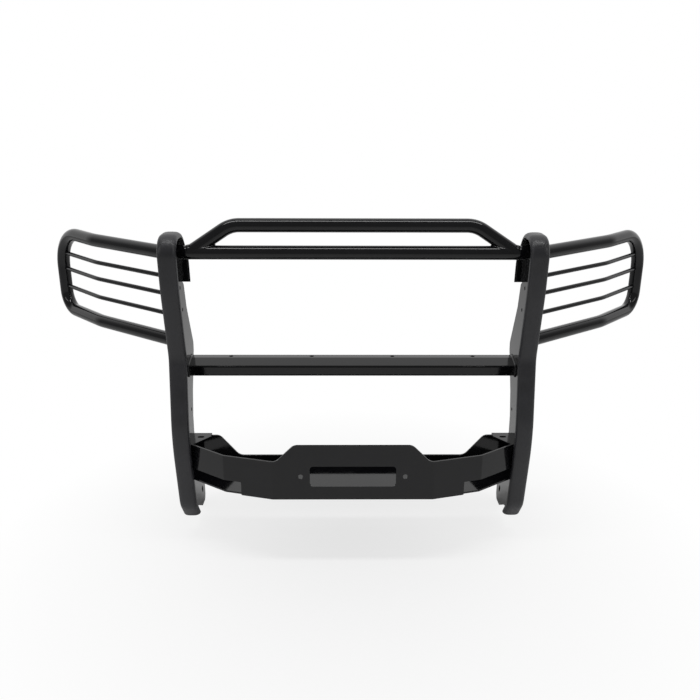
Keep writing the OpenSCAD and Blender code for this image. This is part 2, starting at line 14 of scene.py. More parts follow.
import bmesh
import bpy
import numpy as np
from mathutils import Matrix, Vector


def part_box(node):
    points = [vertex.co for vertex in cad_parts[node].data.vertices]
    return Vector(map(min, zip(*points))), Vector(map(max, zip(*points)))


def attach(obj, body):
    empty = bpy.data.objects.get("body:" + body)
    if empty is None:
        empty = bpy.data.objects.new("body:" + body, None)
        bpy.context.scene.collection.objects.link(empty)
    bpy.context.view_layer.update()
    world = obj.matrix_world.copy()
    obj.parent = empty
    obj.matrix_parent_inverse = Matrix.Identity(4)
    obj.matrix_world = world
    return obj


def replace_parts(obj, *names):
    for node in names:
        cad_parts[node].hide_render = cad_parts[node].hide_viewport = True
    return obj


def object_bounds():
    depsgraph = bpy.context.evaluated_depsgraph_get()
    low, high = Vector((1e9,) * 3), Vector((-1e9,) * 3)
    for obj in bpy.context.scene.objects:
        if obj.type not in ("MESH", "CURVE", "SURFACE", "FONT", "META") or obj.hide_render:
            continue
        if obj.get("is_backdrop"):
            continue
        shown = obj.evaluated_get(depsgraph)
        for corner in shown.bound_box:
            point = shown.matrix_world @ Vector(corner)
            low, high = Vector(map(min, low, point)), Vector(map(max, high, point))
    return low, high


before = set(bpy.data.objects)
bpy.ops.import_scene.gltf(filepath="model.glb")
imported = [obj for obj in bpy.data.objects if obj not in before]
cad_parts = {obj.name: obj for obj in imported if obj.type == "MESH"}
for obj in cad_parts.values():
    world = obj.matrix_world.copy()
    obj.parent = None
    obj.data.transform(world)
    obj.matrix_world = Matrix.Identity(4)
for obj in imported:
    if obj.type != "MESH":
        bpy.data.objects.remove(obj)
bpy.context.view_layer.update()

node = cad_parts
MM = 0.001
print("frame loaded:", len(node), "pieces")

# %% [markdown]
# ## Camera
#
# The guard is seen from a little above, so that the tops of the crossbar and the tray show. The camera
# stands 1.64 m in front of the winch plate and 0.88 m above its slot, and looks down by 19 degrees. A
# 39 mm lens on a 36 mm square sensor gives the frame. We build the turn from the direction of view, because
# that is easier to read than three angles. Blender takes a matrix as its columns, hence the small helper.

# %% Camera
def look_matrix(place, pitch, yaw, roll):
    """World matrix of a camera: its -Z axis points pitch below the horizon and yaw to the right of +Y,
    and roll turns it about that axis."""
    ahead = np.array([sin(yaw) * cos(pitch), cos(yaw) * cos(pitch), -sin(pitch)])
    right = np.array([cos(yaw), -sin(yaw), 0])
    down = np.cross(ahead, right)
    right, down = cos(roll) * right + sin(roll) * down, cos(roll) * down - sin(roll) * right
    matrix = np.eye(4)
    matrix[:3, 0], matrix[:3, 1], matrix[:3, 2], matrix[:3, 3] = right, -down, -ahead, place
    return matrix


def columns(matrix):
    """The matrix as nested lists of its columns, the order in which Blender fills a world matrix."""
    return [list(column) for column in matrix.T]


lens = bpy.data.cameras.new("camera")
lens.lens = 39.09
lens.sensor_width = 36
camera = bpy.data.objects.new("camera", lens)
bpy.context.scene.collection.objects.link(camera)
place = (-0.0258, -1.6440, 0.8840)
pitch, yaw, roll = radians(18.8), radians(0.61), radians(-0.22)
camera.matrix_world = columns(look_matrix(place, pitch, yaw, roll))
bpy.context.scene.camera = camera
print("camera at", place)

# %% [markdown]
# ## Driving sizes
#
# The frame says where each piece lies, so most places are read from its boxes. A few sizes of the bent
# tubes and of the bar that the boxes can't tell are repeated here, in millimetres.

# %% Sizes
def low(name):
    """Lowest corner of a piece of the frame, in millimetres."""
    return np.array(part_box(name)[0]) / MM


def high(name):
    """Highest corner of a piece of the frame, in millimetres."""
    return np.array(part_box(name)[1]) / MM


tube_r = (high("lower_cross_tube")[2] - low("lower_cross_tube")[2]) / 2
rod_r = (high("wing_rod_upper_left")[2] - low("wing_rod_upper_left")[2]) / 2
riser_in, riser_out = low("riser_plate_right")[0], high("riser_plate_right")[0]
upright_x = (riser_in + riser_out) / 2
weld_leg = 5.0
print(f"tube radius {tube_r:.2f} mm, rod radius {rod_r:.2f} mm, risers at {upright_x:.1f} mm")

# %% [markdown]
# ## From a grid of points to a mesh
#
# Every bent or rounded piece here is a surface over two parameters: a section carried along a path. We
# work out the whole grid of points at once with numpy, and hand it to the mesh as quads. The last column
# joins the first, so the surface is a closed pipe, and each end gets one flat face.

# %% Mesh helpers
def link_mesh(name, mesh):
    """A new object at the origin that shows the mesh, riding on the guard's one body."""
    piece = bpy.data.objects.new(name, mesh)
    bpy.context.scene.collection.objects.link(piece)
    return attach(piece, "root")


def pipe_mesh(name, grid, closed_path=False, sharp=35):
    """Mesh of a pipe from grid[i, j], in millimetres: ring i along the path, point j round the section.
    Quad (i, j) joins rings i and i + 1; where the path is closed the last ring joins the first."""
    rings, sides = grid.shape[:2]
    steps = rings if closed_path else rings - 1
    i, j = np.meshgrid(np.arange(steps), np.arange(sides), indexing="ij")
    i2, j2 = (i + 1) % rings, (j + 1) % sides
    quads = np.stack([i * sides + j, i * sides + j2, i2 * sides + j2, i2 * sides + j], -1).reshape(-1, 4)
    faces = quads.tolist()
    if not closed_path:
        faces += [list(range(sides))[::-1], list(range((rings - 1) * sides, rings * sides))]
    mesh = bpy.data.meshes.new(name)
    mesh.from_pydata((grid.reshape(-1, 3) * MM).tolist(), [], faces)
    work = bmesh.new()
    work.from_mesh(mesh)
    bmesh.ops.recalc_face_normals(work, faces=work.faces)
    work.to_mesh(mesh)
    work.free()
    mesh.shade_smooth()
    mesh.set_sharp_from_angle(angle=radians(sharp))
    return mesh


def mirrored(grid):
    """The same grid on the other side of the guard: X changes its sign."""
    return grid * np.array([-1, 1, 1])


def unit(v):
    """Vectors scaled to length 1 along the last axis."""
    return v / np.linalg.norm(v, axis=-1, keepdims=True)


# %% [markdown]
# ## Paths with bent corners
#
# A tube bender turns a straight tube round a die, so a bent tube's centreline is straight stretches joined
# by arcs. From corner points and a bend radius at each, the arc's middle lies on the line that halves the
# corner, and its ends touch both straights. The same function rounds the corners of a flat bar.

# %% Paths
def arc_at(a, b, c, radius, steps):
    """Arc of the radius that rounds corner b: middle + radius (cos g out + sin g along), where out points
    from the middle to the corner and g runs over the angle by which the path turns."""
    u, w = unit(a - b), unit(c - b)
    half = np.arccos(np.clip(u @ w, -1, 1)) / 2
    middle = b + unit(u + w) * radius / sin(half)
    out, along = unit(b - middle), unit(w - u)
    g = (np.linspace(-1, 1, steps + 1) * (pi / 2 - half))[:, None]
    return middle + radius * (np.cos(g) * out + np.sin(g) * along)


def bent_path(corners, radii, steps=24):
    """Points along the corners, each inner corner rounded by its radius."""
    corners = np.asarray(corners, float)
    parts = [corners[:1]]
    for k in range(1, len(corners) - 1):
        parts.append(arc_at(corners[k - 1], corners[k], corners[k + 1], radii[k], steps))
    return np.concatenate(parts + [corners[-1:]])


def resampled(path, step):
    """The path with extra points, so that no two neighbours lie more than step apart."""
    parts = [path[:1]]
    for a, b in zip(path[:-1], path[1:]):
        count = max(1, int(np.ceil(np.linalg.norm(b - a) / step)))
        parts.append(a + (b - a) * (np.arange(1, count + 1) / count)[:, None])
    return np.concatenate(parts)


def directions(path, closed=False):
    """Unit direction of the path at each point, from the points before and after it."""
    if closed:
        return unit(np.roll(path, -1, 0) - np.roll(path, 1, 0))
    ends = np.concatenate([path[:1], path, path[-1:]])
    return unit(ends[2:] - ends[:-2])


# %% [markdown]
# ## Round tubes and rods
#
# A tube is a circle carried along its centreline. At its ends it is cut to fit what it is welded to: the
# flat riser, or the curved wall of another tube. A fitter calls that second cut a cope. We slide each
# point of the end ring along the tube until it meets the other surface.

# %% Tubes
def tube_grid(path, radius, ref, sides=48):
    """Circle of the radius at each point of the path: point + radius (cos a u + sin a v), where u is ref
    made square to the path and v is square to both."""
    t = directions(path)
    u = unit(ref - (t @ ref)[:, None] * t)
    v = np.cross(t, u)
    a = np.linspace(0, 2 * pi, sides, endpoint=False)[None, :, None]
    return path[:, None] + radius * (np.cos(a) * u[:, None] + np.sin(a) * v[:, None])


def cut_to_plane(ring, along, x):
    """The ring's points slid along the tube until they reach the plane at x."""
    return ring + along * ((x - ring[:, :1]) / along[0])


def cut_to_tube(ring, along, line, radius):
    """The ring's points slid along the tube by the distance that is left to the other tube's wall, over
    and over, until that distance is gone. line is the other tube's centreline."""
    a, d = line[:-1], line[1:] - line[:-1]
    for _ in range(40):
        f = np.clip(((ring[:, None] - a) * d).sum(-1) / (d * d).sum(-1), 0, 1)
        gap = np.linalg.norm(ring[:, None] - a - f[..., None] * d, axis=-1).min(1) - radius
        ring = ring + along * gap[:, None]
    return ring


UP = np.array([0.0, 0, 1])
cross_z = (high("lower_cross_tube")[2] + low("lower_cross_tube")[2]) / 2
cross_y = low("lower_cross_tube")[1] + tube_r
cross_corner_x, cross_turn, cross_bend_r = 404, radians(42), 36
cross_end_y = cross_y + (riser_in - cross_corner_x) * tan(cross_turn)
cross_line = bent_path([[-riser_in, cross_end_y, cross_z], [-cross_corner_x, cross_y, cross_z],
                        [cross_corner_x, cross_y, cross_z], [riser_in, cross_end_y, cross_z]],
                       [0, cross_bend_r, cross_bend_r, 0])
cross_grid = tube_grid(resampled(cross_line, 12), tube_r, UP)
cross_out = unit(cross_line[-1] - cross_line[-2])
cross_grid[-1] = cut_to_plane(cross_grid[-1], cross_out, riser_in)
cross_grid[0] = cut_to_plane(cross_grid[0], cross_out * [-1, 1, 1], -riser_in)
cross_tube = link_mesh("lower_cross_tube_round", pipe_mesh("lower_cross_tube_round", cross_grid))
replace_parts(cross_tube, "lower_cross_tube")
print("lower cross tube:", cross_grid.shape[0], "rings")

# %% [markdown]
# The hoop is one tube with two bends. It leans back a little, and its sloping legs stand on the lower
# cross tube, so all of it lies in one slanted plane.

# %% Hoop
hoop_y = high("hoop_tube")[1] - tube_r
hoop_z = high("hoop_tube")[2] - tube_r
hoop_corner_x, hoop_foot_x, hoop_bend_r = 290, 385, 70
hoop_foot = np.array([hoop_foot_x, cross_y, cross_z])
hoop_corner = np.array([hoop_corner_x, hoop_y, hoop_z])
leg_end = (hoop_foot + hoop_corner) / 2
flip = np.array([-1, 1, 1])
hoop_line = bent_path([leg_end * flip, hoop_corner * flip, hoop_corner, leg_end],
                      [0, hoop_bend_r, hoop_bend_r, 0])
hoop_normal = unit(np.cross([1.0, 0, 0], hoop_foot - hoop_corner))
leg_down = unit(hoop_foot - hoop_corner)
hoop_grid = tube_grid(resampled(hoop_line, 12), tube_r, hoop_normal)
hoop_grid[-1] = cut_to_tube(hoop_grid[-1], leg_down, cross_line, tube_r)
hoop_grid[0] = cut_to_tube(hoop_grid[0], leg_down * flip, cross_line, tube_r)
hoop = link_mesh("hoop_tube_round", pipe_mesh("hoop_tube_round", hoop_grid))
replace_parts(hoop, "hoop_tube")
print("hoop:", hoop_grid.shape[0], "rings")

# %% [markdown]
# ## Headlight wings
#
# Each wing is one long tube: out and back from the riser, round a corner, down, round a second corner and
# home again. Seen from above, its inner and outer stretches sweep back at two angles with a gentle bend
# between them, because it follows the truck's fender. Three thin rods repeat that line inside it.

# %% Wings
wing_top = high("wing_frame_right")[2] - tube_r
wing_bottom = low("wing_frame_right")[2] + tube_r
wing_root_y, wing_bend_x, wing_bend_r = 140, 668, 160
top_corner_r, bottom_corner_r = 100, 50
sweep_in, sweep_out = radians(35.8), radians(45.6)
wing_outer_x = high("wing_frame_right")[0] - tube_r
wing_bend_y = wing_root_y + (wing_bend_x - upright_x) * tan(sweep_in)


def wing_point(x, z):
    """Point of the wing at half width x and height z: it sweeps back by one angle up to the gentle bend
    and by the other past it."""
    if x <= wing_bend_x:
        return [x, wing_root_y + (x - upright_x) * tan(sweep_in), z]
    return [x, wing_bend_y + (x - wing_bend_x) * tan(sweep_out), z]


wing_line = bent_path([wing_point(riser_out, wing_top), wing_point(wing_bend_x, wing_top),
                       wing_point(wing_outer_x, wing_top), wing_point(wing_outer_x, wing_bottom),
                       wing_point(wing_bend_x, wing_bottom), wing_point(riser_out, wing_bottom)],
                      [0, wing_bend_r, top_corner_r, bottom_corner_r, wing_bend_r, 0])
wing_side = np.array([-sin(sweep_out), cos(sweep_out), 0])
wing_grid = tube_grid(resampled(wing_line, 12), tube_r, wing_side)
root_in = unit(np.array(wing_point(riser_out, wing_top)) - wing_point(wing_bend_x, wing_top))
wing_grid[0] = cut_to_plane(wing_grid[0], root_in, riser_out)
wing_grid[-1] = cut_to_plane(wing_grid[-1], root_in, riser_out)
for side, grid in (("right", wing_grid), ("left", mirrored(wing_grid))):
    wing = link_mesh(f"wing_frame_round_{side}", pipe_mesh(f"wing_frame_round_{side}", grid))
    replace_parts(wing, f"wing_frame_{side}")

rod_z = {k: (high(f"wing_rod_{k}_right")[2] + low(f"wing_rod_{k}_right")[2]) / 2
         for k in ("upper", "middle", "lower")}
for level, z in rod_z.items():
    rod_line = bent_path([wing_point(riser_out, z), wing_point(wing_bend_x, z),
                          wing_point(wing_outer_x - 2 * tube_r, z)], [0, wing_bend_r, 0])
    rod_grid = tube_grid(resampled(rod_line, 12), rod_r, UP, sides=20)
    rod_grid[0] = cut_to_plane(rod_grid[0], root_in, riser_out)
    rod_grid[-1] = cut_to_tube(rod_grid[-1], unit(rod_line[-1] - rod_line[-2]), wing_line, tube_r)
    for side, grid in (("right", rod_grid), ("left", mirrored(rod_grid))):
        name = f"wing_rod_round_{level}_{side}"
        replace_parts(link_mesh(name, pipe_mesh(name, grid)), f"wing_rod_{level}_{side}")
print("wings:", wing_grid.shape[0], "rings each, rods at", [round(z) for z in rod_z.values()], "mm")

# %% [markdown]
# ## Weld beads
#
# A welder lays a bead in small pushes of the torch, and each leaves a curved ripple about 2 mm from the
# last. The powder coat softens them but doesn't hide them. A bead is a rounded fillet carried along the
# joint: at each point one direction runs up one wall and the other runs out over the second wall.

# %% Bead
def bead_grid(line, up_wall, out_wall, leg, ripple=0.32, pitch=2.4, sides=9):
    """Fillet along the line: point + leg b(a) (cos a up + sin a out) for a from 0 to a right angle, with
    b a little over 1 in the middle, so that it bulges. The leg swells and sinks by ripple once a pitch,
    and the ripple lags in the middle of the bead, which curves it."""
    a = np.linspace(0, pi / 2, sides)[None, :]
    run = np.concatenate([[0], np.cumsum(np.linalg.norm(np.diff(line, axis=0), axis=1))])[:, None]
    lag = 0.8 * np.sin(2 * a)
    phase = (run / pitch + lag) % 1
    wave = ripple * (phase ** 1.6 - 0.5) * np.sin(2 * a)
    length = leg * (0.80 + 0.10 * np.sin(2 * a)) + wave
    arc = line[:, None] + length[..., None] * (np.cos(a)[..., None] * up_wall[:, None]
                                               + np.sin(a)[..., None] * out_wall[:, None])
    hidden = line[:, None] - 0.2 * (up_wall + out_wall)[:, None]
    return np.concatenate([hidden, arc], 1)


def make_bead(name, grids, replaced, closed):
    """One object from the beads' grids, closed loops or open runs, in place of a piece of the frame."""
    piece = link_mesh(name, pipe_mesh(name, grids[0], closed_path=closed, sharp=50))
    work = bmesh.new()
    work.from_mesh(piece.data)
    for grid in grids[1:]:
        other = pipe_mesh(name + "_part", grid, closed_path=closed, sharp=50)
        work.from_mesh(other)
        bpy.data.meshes.remove(other)
    work.to_mesh(piece.data)
    work.free()
    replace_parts(piece, replaced)
    return piece


def loop_round(centre, along, ref, radius, count):
    """Points of a circle round the axis along, and the unit vectors from its middle to them."""
    u = unit(ref - (ref @ along) * along)
    v = np.cross(along, u)
    a = np.linspace(0, 2 * pi, count, endpoint=False)[:, None]
    away = np.cos(a) * u + np.sin(a) * v
    return centre + radius * away, away


def plate_bead(centre, along, radius, x, leg):
    """Bead round a tube's end on a riser's face at x: it stands on the face and climbs the tube."""
    ring, away = loop_round(centre, along, UP, radius, int(radius * 12))
    foot = cut_to_plane(ring, along, x)
    on_face = away.copy()
    on_face[:, 0] = 0
    return bead_grid(foot, np.repeat(-along[None], len(foot), 0), unit(on_face), leg)


def saddle_bead(leg_point, along, leg):
    """Bead round the hoop's foot: the cut end of the leg, with one wall up the leg and the other over the
    cross tube, square to that tube's own wall."""
    ring, away = loop_round(leg_point, along, hoop_normal, tube_r, int(tube_r * 12))
    foot = cut_to_tube(ring, along, cross_line, tube_r)
    wall = unit((foot - [0, cross_y, cross_z]) * [0, 1, 1])
    over = away - (away * wall).sum(1)[:, None] * wall
    return bead_grid(foot, np.repeat(-along[None], len(foot), 0), unit(over), leg)


welds = []
foot_bead = saddle_bead(leg_end, leg_down, weld_leg)
end_bead = plate_bead(cross_line[-1], cross_out, tube_r, riser_in, weld_leg)
root_beads = [plate_bead(np.array(wing_point(riser_out, z)), root_in, r, riser_out, weld_leg * k)
              for z, r, k in [(wing_top, tube_r, 1), (wing_bottom, tube_r, 1)]
              + [(z, rod_r, 0.6) for z in rod_z.values()]]
for side, turn in (("right", lambda g: g), ("left", mirrored)):
    welds.append(make_bead(f"hoop_bead_{side}", [turn(foot_bead)], f"hoop_weld_{side}", True))
    welds.append(make_bead(f"cross_tube_bead_{side}", [turn(end_bead)], f"cross_tube_weld_{side}", True))
    welds.append(make_bead(f"wing_bead_{side}", [turn(g) for g in root_beads], f"wing_weld_{side}", True))
print("round beads:", len(welds))

# %% [markdown]
# The other beads run straight: over the crossbar's section, in the corners of the tray, and as short
# stitches along its rear wall. A stitch swells in where the torch starts and fades where it leaves, so its
# leg is a curve over the run that falls to nothing at both ends.

# %% Straight beads
crossbar_low, crossbar_high = low("crossbar"), high("crossbar")
flat, facet, drop, front = 22, 40, 10, 28
front_y, top_z = crossbar_low[1], crossbar_high[2]
section = bent_path([[riser_in, front_y + facet + flat, top_z], [riser_in, front_y + facet, top_z],
                     [riser_in, front_y, top_z - drop], [riser_in, front_y, top_z - drop - front],
                     [riser_in, front_y + flat, top_z - drop - front]], [0, 12, 6, 6, 0], steps=8)
section = resampled(section, 0.8)
section_out = np.cross(directions(section), [1.0, 0, 0])
INWARD = np.array([-1.0, 0, 0])


def faded(line, fade=5.0):
    """1 along the line and a quarter circle down to 0 over the last fade millimetres at both ends."""
    run = np.concatenate([[0], np.cumsum(np.linalg.norm(np.diff(line, axis=0), axis=1))])
    near_end = np.clip(np.minimum(run, run[-1] - run) / fade, 0, 1)
    return np.sqrt(1 - (1 - near_end) ** 2)[:, None] * 0.97 + 0.03


def straight_bead(start, end, up_wall, out_wall, leg):
    """Bead from start to end in the corner of two walls."""
    start, end = np.array(start, float), np.array(end, float)
    line = start + (end - start) * np.linspace(0, 1, int(np.linalg.norm(end - start) / 0.45))[:, None]
    walls = [np.repeat(np.array(w, float)[None], len(line), 0) for w in (up_wall, out_wall)]
    return bead_grid(line, *walls, leg * faded(line))


bar_end = bead_grid(section, np.repeat(INWARD[None], len(section), 0), section_out,
                    weld_leg * faded(section, 3))
wall_y, floor_z = low("tray_rear_wall")[1], high("tray_floor")[2]
end_low, end_high = low("tray_end_weld_right"), high("tray_end_weld_right")
corner_beads = [straight_bead([riser_in, end_low[1], floor_z], [riser_in, wall_y - 1.5 * weld_leg, floor_z],
                              UP, INWARD, weld_leg),
                straight_bead([riser_in, wall_y, floor_z + 1.5 * weld_leg], [riser_in, wall_y, end_high[2]],
                              [0, -1, 0], INWARD, weld_leg)]
half_stitch, stitch_places = 29, (45, 195, 330)
stitches = [straight_bead([s * x - half_stitch, wall_y, floor_z], [s * x + half_stitch, wall_y, floor_z],
                          UP, [0, -1, 0], weld_leg) for s in (-1, 1) for x in stitch_places]
for side, turn in (("right", lambda g: g), ("left", mirrored)):
    welds.append(make_bead(f"crossbar_bead_{side}", [turn(bar_end)], f"crossbar_weld_{side}", False))
    welds.append(make_bead(f"tray_end_bead_{side}", [turn(g) for g in corner_beads],
                           f"tray_end_weld_{side}", False))
welds.append(make_bead("tray_stitch_beads", stitches, "tray_weld_stitches", False))
print("all beads:", len(welds), "pieces")

# %% [markdown]
# ## Uprights: flat bar and rubber strip
#
# Over the front edge of each riser plate runs a 38 mm flat bar, which is bent back over the top into a
# hook. A domed rubber strip is pressed onto it. Both follow one line, seen from the side, so one function
# carries a section along it. Section points are given as a distance across and a distance in front of the
# bar.

# %% Bar and strip
bar_corners = [[147, -188], [107, -138], [76.5, 35], [77.5, 100], [105, 267], [72, 440], [63, 564],
               [149, 564], [209, 497], [215, 433]]
bar_radii = [0, 60, 430, 250, 90, 400, 38, 50, 60, 0]
bar_line = resampled(bent_path([[upright_x, y, z] for y, z in bar_corners], bar_radii), 9)


def bar_sweep(section, line=bar_line, squeeze=None):
    """Section carried along the bar: point + across X + front n, where n is square to the line and points
    away from the riser. squeeze scales the section ring by ring towards its back."""
    ahead = np.cross([1.0, 0, 0], directions(line))
    if squeeze is None:
        squeeze = np.ones((len(line), 2))
    across = section[None, :, :1] * squeeze[:, None, :1] * np.array([1.0, 0, 0])
    front = ((section[None, :, 1:] + bar_t) * squeeze[:, None, 1:] - bar_t) * ahead[:, None]
    return line[:, None] + across + front


bar_w, bar_t = 38.0, 5.0
cover_w, cover_front = bar_w + 6, 8.0


def rounded_box(half_w, front, back, radius, steps=4):
    """Closed section of a flat bar: a box with quarter circles of the radius at its corners."""
    a = np.linspace(0, pi / 2, steps + 1)
    corners = [(half_w - radius, front - radius, 0), (radius - half_w, front - radius, pi / 2),
               (radius - half_w, back + radius, pi), (half_w - radius, back + radius, 3 * pi / 2)]
    return np.concatenate([np.stack([x + radius * np.cos(a + turn), z + radius * np.sin(a + turn)], 1)
                           for x, z, turn in corners])


bar_section = rounded_box(bar_w / 2, 0, -bar_t, 0.8)
bar_grid = bar_sweep(bar_section)
a = np.linspace(0, pi, 41)
power = 2 / 2.9
dome = np.stack([cover_w / 2 * np.sign(np.cos(a)) * np.abs(np.cos(a)) ** power,
                 (cover_front + bar_t) * np.sin(a) ** power - bar_t], 1)
inside = np.array([[-bar_w / 2 - 0.8, -bar_t - 0.1], [-bar_w / 2, -bar_t + 0.6], [-bar_w / 2, 0.02],
                   [bar_w / 2, 0.02], [bar_w / 2, -bar_t + 0.6], [bar_w / 2 + 0.8, -bar_t - 0.1]])
cover_section = np.concatenate([dome, inside])
run = np.concatenate([[0], np.cumsum(np.linalg.norm(np.diff(bar_line, axis=0), axis=1))])
ends = np.concatenate([np.linspace(0, 6, 9)[:-1], run[(run > 7) & (run < run[-1] - 7)],
                       run[-1] - np.linspace(6, 0, 9)[1:], [run[-1]]])
ends = np.unique(np.round(np.concatenate([ends, [6, run[-1] - 6]]), 4))
cover_line = np.stack([np.interp(ends, run, bar_line[:, k]) for k in range(3)], 1)
near_end = np.clip(np.minimum(ends, ends[-1] - ends) / 6, 0, 1)
squeeze = np.stack([np.ones(len(ends)), 0.55 + 0.45 * np.sqrt(1 - (1 - near_end) ** 2)], 1)
cover_grid = bar_sweep(cover_section, cover_line, squeeze)
covers = []
for side, turn in (("right", lambda g: g), ("left", mirrored)):
    bar_name, strip_name = f"upright_bar_round_{side}", f"rubber_strip_{side}"
    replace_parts(link_mesh(bar_name, pipe_mesh(bar_name, turn(bar_grid))), f"upright_bar_{side}")
    covers.append(link_mesh(strip_name, pipe_mesh(strip_name, turn(cover_grid), sharp=50)))
    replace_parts(covers[-1], f"upright_cover_{side}")
print("bar and strip:", len(bar_line), "and", len(cover_line), "rings")

# %% [markdown]
# ## Plates with soft edges
#
# Plasma-cut plate is deburred before it is coated, and the powder builds up round its edges. No edge is
# razor sharp, so each one catches a thin line of light. The plates' shapes are right already, so a joined
# copy of each gets only a bevel, and weighted normals keep its wide faces flat.

# %% Plates
def edged_copy(name, width):
    """Copy of the frame's piece with its triangles joined into flat faces and a bevel of the width, in
    millimetres, on every edge sharper than 30 degrees."""
    mesh = bpy.data.meshes.new(f"{name}_edged")
    work = bmesh.new()
    work.from_mesh(node[name].data)
    bmesh.ops.remove_doubles(work, verts=work.verts, dist=0.00002)
    bmesh.ops.dissolve_limit(work, angle_limit=radians(0.4), verts=work.verts, edges=work.edges)
    work.to_mesh(mesh)
    work.free()
    mesh.shade_smooth()
    piece = link_mesh(f"{name}_edged", mesh)
    bevel = piece.modifiers.new("soft edge", "BEVEL")
    bevel.width, bevel.segments = width * MM, 3
    bevel.limit_method, bevel.angle_limit = "ANGLE", radians(30)
    bevel.use_clamp_overlap = True
    normals = piece.modifiers.new("flat faces", "WEIGHTED_NORMAL")
    normals.keep_sharp = False
    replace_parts(piece, name)
    return piece


plates = [edged_copy(name, width) for name, width in [
    ("riser_plate_left", 0.6), ("riser_plate_right", 0.6), ("crossbar", 0.7), ("winch_face_plate", 0.8),
    ("tray_floor", 0.6), ("tray_rear_wall", 0.6), ("gusset_left", 0.6), ("gusset_right", 0.6)]]
print("plates:", len(plates))

# %% [markdown]
# ## Colours and nodes
#
# Finishes are chosen as sRGB hex values, because that is what a colour chart shows, and one function turns
# them into the linear numbers that a shader works with. One small function adds a node, sets its values
# and links its inputs, so that each material below reads as a list of what it is made of.

# %% Node helpers
def linear(hex_colour):
    """sRGB hex to linear RGBA: c / 12.92 below 0.04045, otherwise ((c + 0.055) / 1.055) to the power 2.4."""
    c = np.array([int(hex_colour[i:i + 2], 16) / 255 for i in (1, 3, 5)])
    c = np.where(c <= 0.04045, c / 12.92, ((c + 0.055) / 1.055) ** 2.4)
    return (*[float(v) for v in c], 1.0)


def add(tree, kind, settings=None, **inputs):
    """New node of the kind: settings are its properties, and inputs are values or sockets to link."""
    new = tree.nodes.new(kind)
    for key, value in (settings or {}).items():
        setattr(new, key, value)
    for key, value in inputs.items():
        socket = new.inputs[int(key[1:]) if key[0] == "_" else key.replace("_", " ")]
        if isinstance(value, bpy.types.NodeSocket):
            tree.links.new(value, socket)
        else:
            socket.default_value = value
    return new


def new_material(name):
    """An empty node material, with its tree and its output node."""
    material = bpy.data.materials.new(name)
    material.use_nodes = True
    material.node_tree.nodes.clear()
    return material, material.node_tree, material.node_tree.nodes.new("ShaderNodeOutputMaterial")


# %% [markdown]
# ## Gloss black powder coat
#
# Powder coat is dry polyester resin and pigment, charged and sprayed on the earthed steel, then melted at
# about 190 degrees into a skin of about 0.08 mm. It is a smooth dielectric over deep black. As it flows it
# pulls into a shallow orange peel, with waves 2 to 4 mm apart and a few micrometres high, and the gloss
# varies a little where the skin is thinner. The peel is drawn somewhat deeper and wider than the real one,
# because it would be too fine to show from two metres.

# %% Powder coat
def powder_coat(name, colour, rough, peel_depth, peel_width):
    """Black coat with orange peel of the depth and width, in millimetres, and roughness that drifts by a
    few hundredths over 40 mm patches."""
    material, tree, out = new_material(name)
    place = add(tree, "ShaderNodeTexCoord").outputs["Object"]
    peel = add(tree, "ShaderNodeTexNoise", Vector=place, Scale=1 / (peel_width * MM), Detail=1.5,
               Roughness=0.45)
    patch = add(tree, "ShaderNodeTexNoise", Vector=place, Scale=1 / (40 * MM), Detail=3.0)
    grain = add(tree, "ShaderNodeTexNoise", Vector=place, Scale=1 / (0.9 * MM), Detail=2.0)
    mixed = add(tree, "ShaderNodeMath", {"operation": "MULTIPLY_ADD"}, _0=grain.outputs["Fac"], _1=0.5,
                _2=patch.outputs["Fac"])
    roughness = add(tree, "ShaderNodeMapRange", Value=mixed.outputs[0], From_Min=0.45, From_Max=1.05,
                    To_Min=rough - 0.05, To_Max=rough + 0.05)
    tone = add(tree, "ShaderNodeValToRGB", Fac=patch.outputs["Fac"])
    tone.color_ramp.elements[0].color = linear(colour[0])
    tone.color_ramp.elements[1].color = linear(colour[1])
    bump = add(tree, "ShaderNodeBump", Height=peel.outputs["Fac"], Distance=peel_depth * MM)
    shader = add(tree, "ShaderNodeBsdfPrincipled", Base_Color=tone.outputs["Color"],
                 Roughness=roughness.outputs["Result"], Normal=bump.outputs["Normal"], IOR=1.42)
    tree.links.new(shader.outputs[0], out.inputs["Surface"])
    return material


coat = powder_coat("gloss_black_polyester_powder_coat", ("#08080a", "#101012"), 0.1, 0.025, 3.2)
weld_coat = powder_coat("powder_coat_over_weld_bead", ("#09090b", "#121214"), 0.14, 0.03, 1.6)
print("coats:", coat.name, "and", weld_coat.name)

# %% [markdown]
# ## Satin rubber
#
# The strips are extruded EPDM rubber. Extruding leaves faint lines along the strip, less than a millimetre
# apart, and the rubber comes out satin and a little blue beside the coat. Handling leaves a pale bloom in
# soft patches. The lines run along the bar, so their pattern is squeezed across the strip, which is the X
# direction, and stretched along the other two.

